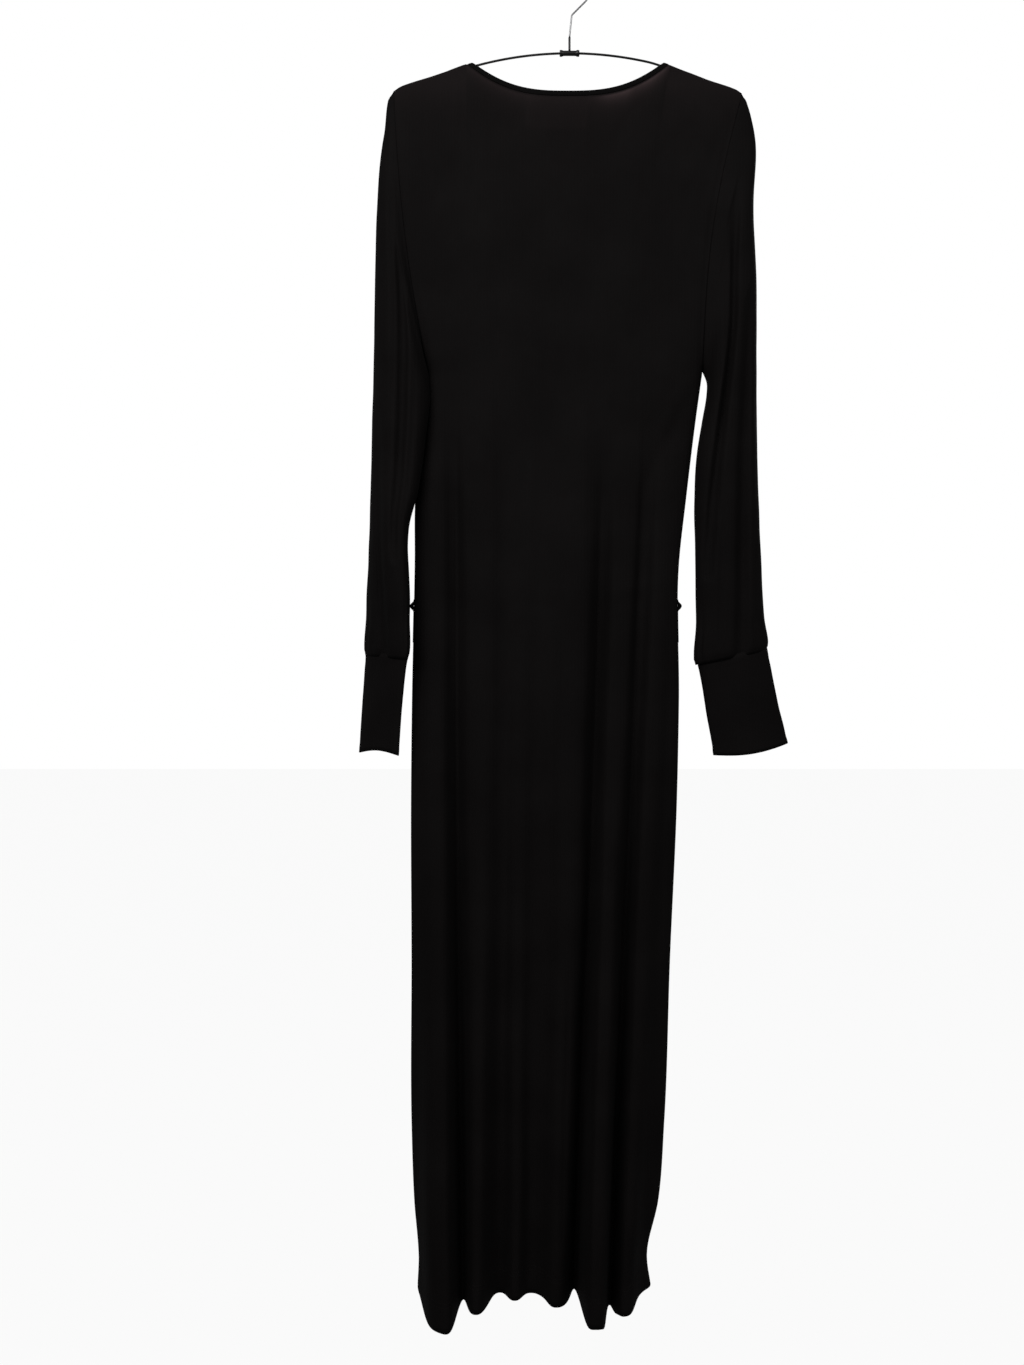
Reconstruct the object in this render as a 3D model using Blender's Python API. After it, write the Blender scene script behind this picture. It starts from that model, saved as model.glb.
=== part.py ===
"""A long-sleeved jersey maxi dress hanging on a wire hanger, modelled in Blender (metres, +Z up).

Frame: the origin is the seat of the hanger's hook, where a rail carries it. The back of the dress faces -Y and
its front +Y, so +X is to the right for someone who looks at the back. The side seams hang in the plane Y = 0.
"""

import math

import bmesh
import bpy
import numpy as np

# Walls and gaps
CLOTH = 0.0014
SEAM_GAP = 0.0003
HALF_GAP = SEAM_GAP / 2

# Hanger: a bow of black wire, straight towards its ends, and a grey hook on a short black foot
WIRE_RADIUS = 0.00125
BOW_CENTRE_X = -0.00235
BOW_TOP_Z = -0.0922
BOW_ARC_RADIUS = 0.400
BOW_ARC_HALF = 0.140
BOW_HALF = 0.188
BOW_STEPS = 26
COLLAR_LENGTH = 0.0220
COLLAR_RADIUS = 0.0036
FOOT_TOP_Z = -0.0745
HOOK_WIRE_RADIUS = 0.00095
HOOK_RADIUS = 0.0210
HOOK_KINK_RADIUS = 0.0050
HOOK_START, HOOK_END = math.radians(-45), math.radians(212)

# Shoulders: the cloth runs over the bow, and SEAT is how far its top stands above the wire's centre line. The ease
# is how fast the rows level out below the neckline, the turn the share of the armhole in which the cloth reaches its
# full stand, and the arch how square the panels are in cross-section.
SEAT = 0.0050
NECK_HALF = 0.58
BACK_NECK_Z, BACK_NECK_POWER = -0.1430, 2.8
FRONT_NECK_Z, FRONT_NECK_POWER = -0.1850, 2.2
NECK_STAND = 0.50
BINDING_WIDTH, BINDING_WALL = 0.0060, 0.0020
BINDING_TILT = math.radians(70)
SHOULDER_EASE = 2.5
SHOULDER_TURN = 0.5
PANEL_ARCH = 6

# Armholes: shoulder point, underarm point and sideways bow of the seam, and half its opening. The spread and the
# fade are the shares of the sleeve in which its points spread out evenly and the seam's bow dies out.
UNDERARM_Z = -0.4491
ARMHOLE = {
    "left": {"shoulder_x": -0.1989, "underarm_x": -0.1620, "bow": -0.0060},
    "right": {"shoulder_x": 0.1908, "underarm_x": 0.1465, "bow": -0.0120},
}
ARMHOLE_HALF_DEPTH = 0.015
ROW_POWER = 1.9
SLEEVE_SPREAD, BOW_FADE = 0.40, 0.35

# Side seams below the underarms, and how far the back and the front stand off the side seams' plane
BODY_COLUMNS = ("z", "left", "right", "back", "front")
BODY = (
    (-0.4491, -0.1620, 0.1465, 0.015, 0.019),
    (-0.5029, -0.1650, 0.1390, 0.015, 0.020),
    (-0.5925, -0.1752, 0.1281, 0.015, 0.020),
    (-0.6597, -0.1757, 0.1206, 0.015, 0.020),
    (-0.8165, -0.1788, 0.1203, 0.017, 0.022),
    (-0.9285, -0.1799, 0.1180, 0.018, 0.024),
    (-1.1077, -0.1793, 0.1102, 0.019, 0.027),
    (-1.2869, -0.1793, 0.1039, 0.020, 0.030),
    (-1.3765, -0.1762, 0.0971, 0.020, 0.031),
    (-1.4414, -0.1712, 0.0844, 0.020, 0.032),
    (-1.4705, -0.1725, 0.0885, 0.020, 0.032),
)
HEM_Z = -1.4705
HEM_DIP, DIP_START = 0.15, 0.5

# Folds: where each runs at the waist and at the hem, where it starts, and its half width and height at both. They
# grow faster than straight towards the hem, and each fades in over FOLD_FADE below its start.
WAIST_Z = -0.7050
FOLD_ROUNDNESS = 2.6
FOLD_GROWTH = 1.4
FOLD_FADE = 0.25
FOLD_COLUMNS = ("waist_x", "hem_x", "start_z", "waist_width", "hem_width", "waist_height", "hem_height")
BACK_FOLDS = (
    (-0.157, -0.1450, -0.30, 0.016, 0.0170, 0.004, 0.055),
    (-0.130, -0.1228, -0.42, 0.009, 0.0060, -0.007, -0.010),
    (-0.097, -0.1060, -0.45, 0.018, 0.0140, 0.005, 0.030),
    (-0.077, -0.0801, -0.36, 0.010, 0.0080, -0.003, -0.005),
    (-0.055, -0.0635, -0.60, 0.012, 0.0090, 0.003, 0.015),
    (-0.040, -0.0446, -0.60, 0.010, 0.0080, -0.003, -0.004),
    (0.001, -0.0175, -0.40, 0.018, 0.0140, 0.006, 0.018),
    (0.031, 0.0050, -0.50, 0.009, 0.0060, -0.008, -0.012),
    (0.050, 0.0227, -0.50, 0.014, 0.0135, 0.004, 0.056),
    (0.078, 0.0400, -0.46, 0.009, 0.0050, -0.007, -0.010),
    (0.097, 0.0575, -0.50, 0.014, 0.0160, 0.003, 0.031),
)
FRONT_FOLDS = (
    (-0.140, -0.1400, -0.40, 0.020, 0.0190, 0.004, 0.036),
    (-0.112, -0.1080, -0.46, 0.010, 0.0090, -0.006, -0.010),
    (-0.078, -0.0780, -0.42, 0.022, 0.0190, 0.005, 0.024),
    (-0.042, -0.0460, -0.52, 0.010, 0.0090, -0.006, -0.012),
    (-0.010, -0.0170, -0.44, 0.022, 0.0180, 0.005, 0.032),
    (0.026, 0.0130, -0.50, 0.010, 0.0085, -0.006, -0.011),
    (0.060, 0.0440, -0.46, 0.020, 0.0180, 0.005, 0.034),
)

# Sleeves: the outer and the inner edge of each cross-section, half its depth, and how far it is turned
SLEEVE_COLUMNS = ("outer_x", "outer_z", "inner_x", "inner_z", "half_depth", "turn")
SLEEVES = {
    "left": (
        (-0.1989, -0.1333, -0.1620, -0.4491, 0.015, 0.000),
        (-0.2135, -0.2005, -0.1642, -0.4650, 0.022, 0.005),
        (-0.2191, -0.2733, -0.1640, -0.4830, 0.028, 0.009),
        (-0.2215, -0.3573, -0.1668, -0.5090, 0.032, 0.012),
        (-0.2233, -0.4469, -0.1705, -0.5420, 0.033, 0.015),
        (-0.2258, -0.5421, -0.1768, -0.5890, 0.033, 0.018),
        (-0.2286, -0.6317, -0.1827, -0.6430, 0.031, 0.022),
        (-0.2322, -0.7045, -0.1824, -0.7100, 0.027, 0.026),
        (-0.2338, -0.7661, -0.1844, -0.7717, 0.017, 0.028),
    ),
    "right": (
        (0.1908, -0.1333, 0.1465, -0.4491, 0.015, 0.000),
        (0.2037, -0.1949, 0.1511, -0.4626, 0.020, 0.001),
        (0.2035, -0.2621, 0.1505, -0.4805, 0.024, 0.002),
        (0.2071, -0.3461, 0.1455, -0.5074, 0.027, 0.002),
        (0.2076, -0.4357, 0.1399, -0.5432, 0.028, 0.003),
        (0.2083, -0.5365, 0.1371, -0.5902, 0.027, 0.003),
        (0.2116, -0.6373, 0.1380, -0.6462, 0.025, 0.004),
        (0.2158, -0.7101, 0.1385, -0.7157, 0.023, 0.004),
        (0.2181, -0.7616, 0.1382, -0.7773, 0.017, 0.004),
    ),
}

# Sleeve folds on the back: place across from outer 0 to inner 1 at both ends, how far down they run, size
SLEEVE_FOLD_COLUMNS = ("start_across", "end_across", "start", "end", "width", "depth")
SLEEVE_FOLDS = {
    "left": ((0.52, 0.70, 0.10, 0.80, 0.09, 0.006), (0.15, 0.50, 0.55, 1.05, 0.10, 0.007)),
    "right": ((0.30, 0.86, 0.08, 0.82, 0.08, 0.007), (0.18, 0.42, 0.35, 1.05, 0.09, 0.007)),
}

# Cuffs: edges, half depth and turn, at the seam and at the open end
CUFFS = {
    "left": (
        (-0.2332, -0.7664, -0.1850, -0.7720, 0.0150, 0.0270),
        (-0.2362, -0.8060, -0.1905, -0.8120, 0.0140, 0.0270),
        (-0.2408, -0.8715, -0.1955, -0.8750, 0.0130, 0.0270),
    ),
    "right": (
        (0.2200, -0.7620, 0.1412, -0.7776, 0.0150, 0.0040),
        (0.2305, -0.8120, 0.1490, -0.8210, 0.0120, 0.0040),
        (0.2425, -0.8650, 0.1585, -0.8780, 0.0100, 0.0040),
    ),
}

# Belt loops at the side seams: the top end, how far the bulge stands out, and the strip itself
LOOP_TOP_Z, LOOP_LENGTH = -0.7040, 0.0480
LOOP_BULGE, LOOP_BULGE_END = 0.0060, 0.40
LOOP_SEAT = 0.0007
LOOP_WIDTH, LOOP_WALL = 0.0045, 0.0012

# Label inside the back neck, as a stretch of the back panel
LABEL_ACROSS = (-0.231, 0.126)
LABEL_DOWN = (0.0120, 0.1320)
LABEL_WALL = 0.0008

# Meshes: quads across, down to the underarm, and below it
BACK_ACROSS, FRONT_ACROSS = 52, 34
ARMHOLE_ROWS = 9
BACK_ROWS, FRONT_ROWS = 18, 14
SLEEVE_ROWS, CUFF_ROWS = 15, 3
BINDING_STEPS = 44
LOOP_STEPS = 10
LABEL_QUADS = (6, 4)
EDGE_CROWDING = 0.4
SHARP = math.radians(50)

BLACK_JERSEY = {"colour": (0.0045, 0.0042, 0.0042, 1), "roughness": 0.85, "metallic": 0.0}
BLACK_RIB = {"colour": (0.0040, 0.0038, 0.0038, 1), "roughness": 0.80, "metallic": 0.0}
LABEL_SATIN = {"colour": (0.0300, 0.0280, 0.0280, 1), "roughness": 0.60, "metallic": 0.0}
BLACK_WIRE = {"colour": (0.0060, 0.0060, 0.0060, 1), "roughness": 0.35, "metallic": 0.0}
GREY_STEEL = {"colour": (0.4500, 0.4500, 0.4600, 1), "roughness": 0.30, "metallic": 1.0}


def clear_scene():
    for obj in list(bpy.data.objects):
        bpy.data.objects.remove(obj, do_unlink=True)


def finish_material(name, look):
    material = bpy.data.materials.new(name)
    material.use_nodes = True
    shader = material.node_tree.nodes["Principled BSDF"]
    shader.inputs["Base Color"].default_value = look["colour"]
    shader.inputs["Roughness"].default_value = look["roughness"]
    shader.inputs["Metallic"].default_value = look["metallic"]
    return material


def smooth_row(columns, table, at, value):
    """One row of a table at any value of its column `at`, on a smooth curve through its rows."""
    rows = np.array(table)
    key = rows[:, columns.index(at)] * np.sign(rows[-1, columns.index(at)] - rows[0, columns.index(at)])
    value = value * np.sign(rows[-1, columns.index(at)] - rows[0, columns.index(at)])
    return dict(zip(columns, smooth_between(key, rows, value)))


def smooth_between(key, rows, value):
    slopes = np.gradient(rows, key, axis=0)
    k = int(np.clip(np.searchsorted(key, value) - 1, 0, len(key) - 2))
    span = key[k + 1] - key[k]
    t = min(max((value - key[k]) / span, 0.0), 1.0)
    start = (1 + 2 * t) * (1 - t) ** 2 * rows[k] + t * (1 - t) ** 2 * span * slopes[k]
    end = t * t * (3 - 2 * t) * rows[k + 1] + t * t * (t - 1) * span * slopes[k + 1]
    return start + end


def bell(distance, width):
    """The cross-section of a fold: a round back with steep sides."""
    return math.exp(-((abs(distance) / width) ** FOLD_ROUNDNESS))


def rise(value, low, high):
    t = min(max((value - low) / (high - low), 0.0), 1.0)
    return t * t * (3 - 2 * t)


def bow_z(x):
    """Height of the hanger wire's centre line: an arc in the middle, straight on towards the ends."""
    x = abs(x - BOW_CENTRE_X)
    at_end = math.sqrt(BOW_ARC_RADIUS**2 - BOW_ARC_HALF**2)
    if x > BOW_ARC_HALF:
        return BOW_TOP_Z - BOW_ARC_RADIUS + at_end - (x - BOW_ARC_HALF) * BOW_ARC_HALF / at_end
    return BOW_TOP_Z - BOW_ARC_RADIUS + math.sqrt(BOW_ARC_RADIUS**2 - x * x)


SHOULDER_Z = bow_z(ARMHOLE["left"]["shoulder_x"]) + SEAT


def armhole_x(side, q):
    """The armhole seam, from the shoulder point at q = 0 to the underarm at q = 1."""
    seam = ARMHOLE[side]
    return (
        seam["shoulder_x"] + (seam["underarm_x"] - seam["shoulder_x"]) * q + seam["bow"] * math.sin(math.pi * q)
    )


def armhole_depth(q):
    return ARMHOLE_HALF_DEPTH * math.sqrt(max(4 * q * (1 - q), 0.0))


def armhole_z(q):
    return SHOULDER_Z + q * (UNDERARM_Z - SHOULDER_Z)


def row_place(row):
    """How far down the armhole a row of points lies: the rows crowd at the shoulder, where cloth turns over wire."""
    return (row / ARMHOLE_ROWS) ** ROW_POWER


def shoulder_turn(q):
    """How far the cloth has reached its full stand, from 0 at the shoulder seam to 1."""
    r = min(q / SHOULDER_TURN, 1.0)
    return math.sqrt(r * (2 - r))


def side_arch(across, power):
    return math.sqrt(max(1 - abs(across) ** power, 0.0))


def neck_z(side, across):
    """Top edge of a panel: the shoulder seam over the bow, and the neckline between the shoulders."""
    hps_z = bow_z(neck_x(NECK_HALF)) + SEAT
    low, power = (BACK_NECK_Z, BACK_NECK_POWER) if side < 0 else (FRONT_NECK_Z, FRONT_NECK_POWER)
    return low + (hps_z - low) * min(abs(across) / NECK_HALF, 1.0) ** power


def neck_x(across):
    left, right = armhole_x("left", 0), armhole_x("right", 0)
    return (left + right) / 2 + across * (right - left) / 2


def folds(table, x, z):
    total = 0.0
    for row in table:
        fold = dict(zip(FOLD_COLUMNS, row))
        down = (z - WAIST_Z) / (HEM_Z - WAIST_Z)
        place = fold["waist_x"] + (fold["hem_x"] - fold["waist_x"]) * down
        grown = max(down, 0.0) ** FOLD_GROWTH
        width = fold["waist_width"] + (fold["hem_width"] - fold["waist_width"]) * max(down, 0.0)
        height = fold["waist_height"] + (fold["hem_height"] - fold["waist_height"]) * grown
        height *= rise(-z, -fold["start_z"], -fold["start_z"] + FOLD_FADE)
        total += height * bell(x - place, width)
    return total


def stand(side, across, q, x, z):
    """How far the panel stands off the side seams' plane, at least far enough for the wall to clear the other."""
    body = smooth_row(BODY_COLUMNS, BODY, "z", min(z, UNDERARM_Z))
    full = body["back"] if side < 0 else body["front"]
    turn = shoulder_turn(q)
    neck = side_arch(min(abs(across) / NECK_HALF, 1.0), PANEL_ARCH) * NECK_STAND * (1 - turn)
    inside = full * (turn + neck) + folds(BACK_FOLDS if side < 0 else FRONT_FOLDS, x, z)
    edge = armhole_depth(q) if q < 1 else 0.0
    return edge + (inside - edge) * side_arch(across, PANEL_ARCH)


def panel_point(side, across, q, down):
    """A point of the back (side -1) or front (side 1). q runs down the armhole and down from underarm to hem."""
    if q < 1:
        left, right = armhole_x("left", q), armhole_x("right", q)
        x = (left + right) / 2 + across * (right - left) / 2
        top = neck_z(side, across) if abs(across) < NECK_HALF else bow_z(neck_x(across)) + SEAT
        z = armhole_z(q) + (top - SHOULDER_Z) * (1 - q) ** SHOULDER_EASE
    else:
        z = UNDERARM_Z + down * (HEM_Z - UNDERARM_Z)
        body = smooth_row(BODY_COLUMNS, BODY, "z", z)
        x = (body["left"] + body["right"]) / 2 + across * (body["right"] - body["left"]) / 2
    out = stand(side, across, q, x, z)
    z -= HEM_DIP * out * rise(down, DIP_START, 1.0)
    return x, side * (out + HALF_GAP), z


def across_of(u):
    """Points across a panel, from -1 to 1: a little closer together towards the side seams."""
    return (1 - EDGE_CROWDING) * u + EDGE_CROWDING * math.sin(math.pi / 2 * u)


def sleeve_point(side, rows, columns, q, back, t):
    """A point of a sleeve or cuff: q across from its outer edge to its inner one, t along it."""
    row = dict(zip(columns, smooth_between(np.linspace(0, 1, len(rows)), np.array(rows), t)))
    x = row["outer_x"] + (row["inner_x"] - row["outer_x"]) * q
    z = row["outer_z"] + (row["inner_z"] - row["outer_z"]) * q
    depth = row["half_depth"] * math.sqrt(max(4 * q * (1 - q), 0.0))
    if back:
        for line in SLEEVE_FOLDS[side] if rows is SLEEVES[side] else ():
            fold = dict(zip(SLEEVE_FOLD_COLUMNS, line))
            run = (t - fold["start"]) / (fold["end"] - fold["start"])
            if 0 < run < 1:
                place = fold["start_across"] + (fold["end_across"] - fold["start_across"]) * run
                depth -= fold["depth"] * math.sin(math.pi * run) ** 0.5 * bell(q - place, fold["width"])
    return x, (-depth if back else depth) + row["turn"] * (1 - 2 * q), z


def quads(name, across, along, place, reverse, wall, look, keep=None, closed=False, half=0):
    """A wall of cloth: a grid placed by a function, given its thickness inwards, and kept to its side of a seam.

    With half -1 or 1 only the part behind or in front of the side seams' plane is kept.
    """
    bm = bmesh.new()
    bmesh.ops.create_grid(bm, x_segments=across, y_segments=along, size=1.0)
    for vert in bm.verts:
        column = round((vert.co.x + 1) / 2 * across)
        row = round((vert.co.y + 1) / 2 * along)
        vert.co = place(column, row)
    if closed:
        bmesh.ops.remove_doubles(bm, verts=bm.verts[:], dist=1e-6)
    if reverse:
        bmesh.ops.reverse_faces(bm, faces=bm.faces[:])
    bm.normal_update()
    bmesh.ops.solidify(bm, geom=bm.faces[:], thickness=wall)
    if keep:
        for vert in bm.verts:
            vert.co = keep(vert.co)
    if half:
        everything = bm.verts[:] + bm.edges[:] + bm.faces[:]
        cut = bmesh.ops.bisect_plane(
            bm, geom=everything, plane_co=(0, half * HALF_GAP, 0), plane_no=(0, -half, 0), clear_outer=True
        )
        rim = [item for item in cut["geom_cut"] if isinstance(item, bmesh.types.BMEdge)]
        bmesh.ops.holes_fill(bm, edges=rim, sides=0)
        bmesh.ops.recalc_face_normals(bm, faces=bm.faces[:])
    return add_piece(name, bm, look)


def add_piece(name, bm, look):
    mesh = bpy.data.meshes.new(name)
    bm.to_mesh(mesh)
    bm.free()
    mesh.shade_smooth()
    mesh.set_sharp_from_angle(angle=SHARP)
    mesh.materials.append(look)
    obj = bpy.data.objects.new(name, mesh)
    bpy.context.scene.collection.objects.link(obj)
    return obj


def make_panel(name, side, across, rows, look):
    def place(column, row):
        s = across_of(2 * column / across - 1)
        if row <= ARMHOLE_ROWS:
            return panel_point(side, s, row_place(row), 0.0)
        return panel_point(side, s, 1.0, (row - ARMHOLE_ROWS) / rows)

    def keep(co):
        """Off the other panel at the seams, and off the sleeves at the armholes."""
        co.y = side * max(side * co.y, HALF_GAP)
        q = (co.z - SHOULDER_Z) / (UNDERARM_Z - SHOULDER_Z)
        if 0 < q < 1:
            co.x = min(max(co.x, armhole_x("left", q) + HALF_GAP), armhole_x("right", q) - HALF_GAP)
        return co

    quads(name, across, ARMHOLE_ROWS + rows, place, side < 0, CLOTH, look, keep)


def make_sleeve(side, look):
    """A sleeve, one piece of cloth, as its back and its front half, so that each is a simple open shell."""
    way = -1 if side == "left" else 1
    around = 2 * ARMHOLE_ROWS

    def place(column, row):
        back = column % around <= ARMHOLE_ROWS
        step = column % around
        step = step if back else around - step
        t = row / SLEEVE_ROWS
        even = (1 - math.cos(math.pi * step / ARMHOLE_ROWS)) / 2
        q = row_place(step) + (even - row_place(step)) * rise(t, 0.0, SLEEVE_SPREAD)
        x, y, z = sleeve_point(side, SLEEVES[side], SLEEVE_COLUMNS, q, back, t)
        bow = ARMHOLE[side]["bow"] * math.sin(math.pi * q) * (1 - rise(t, 0.0, BOW_FADE))
        return x + bow + way * HALF_GAP, y, z

    def keep(co):
        q = (co.z - SHOULDER_Z) / (UNDERARM_Z - SHOULDER_Z)
        if 0 < q < 1:
            co.x = way * max(way * co.x, way * armhole_x(side, q) + HALF_GAP)
        return co

    for half, name in ((-1, "back"), (1, "front")):
        quads(
            f"sleeve_{side}_{name}", around, SLEEVE_ROWS, place, side == "left", CLOTH, look, keep, True, half
        )


def make_cuff(side, look):
    around = 2 * ARMHOLE_ROWS

    def place(column, row):
        step = column % around
        back = step <= ARMHOLE_ROWS
        step = step if back else around - step
        q = (1 - math.cos(math.pi * step / ARMHOLE_ROWS)) / 2
        return sleeve_point(side, CUFFS[side], SLEEVE_COLUMNS, q, back, row / CUFF_ROWS)

    quads("cuff_" + side, around, CUFF_ROWS, place, side == "left", CLOTH, look, None, True)


def make_binding(look):
    """The ring round the neck: its seam edge follows both panels' necklines, its free edge is turned inwards."""

    def place(column, row):
        turn = 2 * math.pi * (column % BINDING_STEPS) / BINDING_STEPS
        side = -1 if math.sin(turn) >= 0 else 1
        s = -NECK_HALF * math.cos(turn)
        x, y, z = panel_point(side, s * 0.999, 0.0, 0.0)
        y = 0.0 if abs(abs(s) - NECK_HALF) < 1e-9 else y
        tilt = BINDING_TILT * (abs(s) / NECK_HALF) ** 2
        reach = SEAM_GAP + BINDING_WIDTH * row
        return x - math.copysign(math.sin(tilt), s) * reach, y, z + math.cos(tilt) * reach

    quads("neck_binding", BINDING_STEPS, 1, place, False, BINDING_WALL, look, None, True)


def make_loop(side, look):
    """A short strip along the side seam, fast at both ends and standing off it below its top end."""
    way = -1 if side == "left" else 1

    def place(column, row):
        t = row / LOOP_STEPS
        z = LOOP_TOP_Z - t * LOOP_LENGTH
        body = smooth_row(BODY_COLUMNS, BODY, "z", z)
        out = LOOP_SEAT + LOOP_WALL + LOOP_BULGE * math.sin(math.pi * min(t / LOOP_BULGE_END, 1.0)) ** 2
        return body[side] + way * out, LOOP_WIDTH * (column / 2 - 0.5), z

    quads("belt_loop_" + side, 2, LOOP_STEPS, place, side == "right", LOOP_WALL, look)


def make_label(look):
    across, down = LABEL_QUADS

    def place(column, row):
        s = LABEL_ACROSS[0] + (LABEL_ACROSS[1] - LABEL_ACROSS[0]) * column / across
        q = LABEL_DOWN[0] + (LABEL_DOWN[1] - LABEL_DOWN[0]) * row / down
        x, y, z = panel_point(-1, s, q, 0.0)
        return x, y + CLOTH + 2 * SEAM_GAP, z

    quads("neck_label", across, down, place, True, LABEL_WALL, look)


def wire(name, points, radius, look, sides=2):
    curve = bpy.data.curves.new(name, "CURVE")
    curve.dimensions = "3D"
    curve.bevel_depth = radius
    curve.bevel_resolution = sides
    curve.use_fill_caps = True
    spline = curve.splines.new("POLY")
    spline.points.add(len(points) - 1)
    for spot, place in zip(spline.points, points):
        spot.co = (*place, 1.0)
    curve.materials.append(look)
    obj = bpy.data.objects.new(name, curve)
    bpy.context.scene.collection.objects.link(obj)
    return obj


def make_hanger(black, steel):
    half = np.linspace(-BOW_HALF, BOW_HALF, BOW_STEPS + 1) + BOW_CENTRE_X
    wire("hanger_bar", [(x, 0.0, bow_z(x)) for x in half], WIRE_RADIUS, black)

    bm = bmesh.new()
    bmesh.ops.create_cone(
        bm, cap_ends=False, segments=16, radius1=COLLAR_RADIUS, radius2=COLLAR_RADIUS, depth=COLLAR_LENGTH
    )
    for vert in bm.verts:
        vert.co = (BOW_CENTRE_X + vert.co.z, vert.co.y, BOW_TOP_Z - vert.co.x)
    bm.normal_update()
    bore = WIRE_RADIUS + 1.5 * SEAM_GAP
    bmesh.ops.solidify(bm, geom=bm.faces[:], thickness=COLLAR_RADIUS - bore)
    add_piece("hanger_collar", bm, black)

    centre_z = HOOK_WIRE_RADIUS - HOOK_RADIUS
    kink_z = centre_z - math.sqrt(2) * HOOK_RADIUS
    foot_z = BOW_TOP_Z + COLLAR_RADIUS + SEAM_GAP
    foot = [(BOW_CENTRE_X, 0.0, z) for z in (foot_z, FOOT_TOP_Z)]
    wire("hanger_hook_root", foot, WIRE_RADIUS, black)

    # The stem leans from the foot to the kink, and a short round bend joins it to the line that meets the ring
    bend = HOOK_KINK_RADIUS * math.tan(math.radians(22.5))
    points = [(BOW_CENTRE_X, 0.0, FOOT_TOP_Z + SEAM_GAP), (0.0, 0.0, kink_z - bend)]
    for angle in np.radians(np.linspace(0, 45, 5))[1:]:
        x = HOOK_KINK_RADIUS * (1 - math.cos(angle))
        points.append((x, 0.0, kink_z - bend + HOOK_KINK_RADIUS * math.sin(angle)))
    for angle in np.linspace(HOOK_START, HOOK_END, 30):
        points.append((HOOK_RADIUS * math.cos(angle), 0.0, centre_z + HOOK_RADIUS * math.sin(angle)))
    wire("hanger_hook", points, HOOK_WIRE_RADIUS, steel)


def main():
    clear_scene()
    jersey = finish_material("black_viscose_jersey", BLACK_JERSEY)
    rib = finish_material("black_jersey_binding", BLACK_RIB)
    satin = finish_material("dark_satin_label", LABEL_SATIN)
    black = finish_material("black_coated_wire", BLACK_WIRE)
    steel = finish_material("grey_steel_wire", GREY_STEEL)
    make_panel("back_panel", -1, BACK_ACROSS, BACK_ROWS, jersey)
    make_panel("front_panel", 1, FRONT_ACROSS, FRONT_ROWS, jersey)
    for side in ("left", "right"):
        make_sleeve(side, jersey)
        make_cuff(side, jersey)
        make_loop(side, rib)
    make_binding(rib)
    make_label(satin)
    make_hanger(black, steel)


main()
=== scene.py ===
"""The looks of a black viscose jersey maxi dress on a wire hanger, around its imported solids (metres, +Z up).

The back of the dress faces -Y and its front +Y. A panel's side is -1 for the back and 1 for the front, and a
place across it runs from -1 at the left seam to 1 at the right one. Down an armhole q runs from 0 at the
shoulder to 1 at the underarm, and across a sleeve or cuff from 0 at its outer edge to 1 at its inner one. Along
a sleeve or cuff t runs from 0 at its top to 1 at its lower end.
"""

import functools
import math

import bmesh
import bpy
import numpy as np
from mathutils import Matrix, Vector, noise


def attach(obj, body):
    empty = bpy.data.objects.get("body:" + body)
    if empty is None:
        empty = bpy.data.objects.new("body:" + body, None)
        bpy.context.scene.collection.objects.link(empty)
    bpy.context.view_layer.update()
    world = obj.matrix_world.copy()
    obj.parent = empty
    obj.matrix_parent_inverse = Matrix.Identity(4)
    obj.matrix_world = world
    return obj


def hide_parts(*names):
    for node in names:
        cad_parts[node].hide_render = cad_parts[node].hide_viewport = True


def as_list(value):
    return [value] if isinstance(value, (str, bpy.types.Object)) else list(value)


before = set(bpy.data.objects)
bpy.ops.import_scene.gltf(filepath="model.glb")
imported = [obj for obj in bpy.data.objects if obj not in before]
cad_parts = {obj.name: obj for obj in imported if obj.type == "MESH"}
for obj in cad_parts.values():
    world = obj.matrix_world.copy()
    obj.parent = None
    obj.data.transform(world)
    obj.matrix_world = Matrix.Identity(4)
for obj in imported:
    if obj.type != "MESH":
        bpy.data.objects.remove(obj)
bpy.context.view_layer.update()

MM = 0.001

# Thickness of each cloth, laid inwards from its outer face
CLOTH = 1.0 * MM
BINDING_CLOTH = 1.9 * MM
CUFF_CLOTH = 1.5 * MM
LABEL_CLOTH = 0.6 * MM

# Photo: its size, its scale at the side seams' plane, the hook's seat in it, and the camera's distance from
# that plane
PHOTO_WIDTH, PHOTO_HEIGHT = 1024, 1365
PHOTO_SCALE = 0.00112
SEAT_PIXEL = (571.6, -29.0)
CAMERA_DISTANCE = 1.60
SENSOR = 36.0

# Studio: the floor, the light from all round, how much greyer than pure white the paper is seen, and the lamps
FLOOR_Z, FLOOR_HALF = -1.62, 12.0
WORLD_LIGHT = 0.16
PAPER_SHADE = 0.05
LIGHT_COLUMNS = ("name", "place", "aim", "size", "power")
STUDIO_LIGHTS = (
    ("key", (-0.9, -1.5, 0.55), (0.0, 0.0, -0.25), 1.2, 20),
    ("fill", (1.3, -1.5, 0.30), (0.0, 0.0, -0.30), 1.4, 9),
    ("rear", (0.9, 1.8, 0.50), (0.0, 0.0, -0.50), 1.4, 16),
)

# Hanger, as in the solids, but for a slight sag of the bow before its right end, with the places where the sag
# comes and goes
WIRE_RADIUS = 0.00125
BOW_CENTRE_X = -0.00235
BOW_TOP_Z = -0.0922
BOW_ARC_RADIUS = 0.400
BOW_ARC_HALF = 0.140
BOW_HALF = 0.188
BOW_SAG, SAG_START, SAG_END = 3.5 * MM, (0.085, 0.130), (0.150, 0.190)
COLLAR_LENGTH = 0.0220
COLLAR_RADIUS = 0.0036
FOOT_TOP_Z = -0.0745
HOOK_WIRE_RADIUS = 0.00095
HOOK_RADIUS = 0.0210
HOOK_KINK_RADIUS = 0.0050
HOOK_START, HOOK_END = math.radians(-45), math.radians(212)

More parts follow.
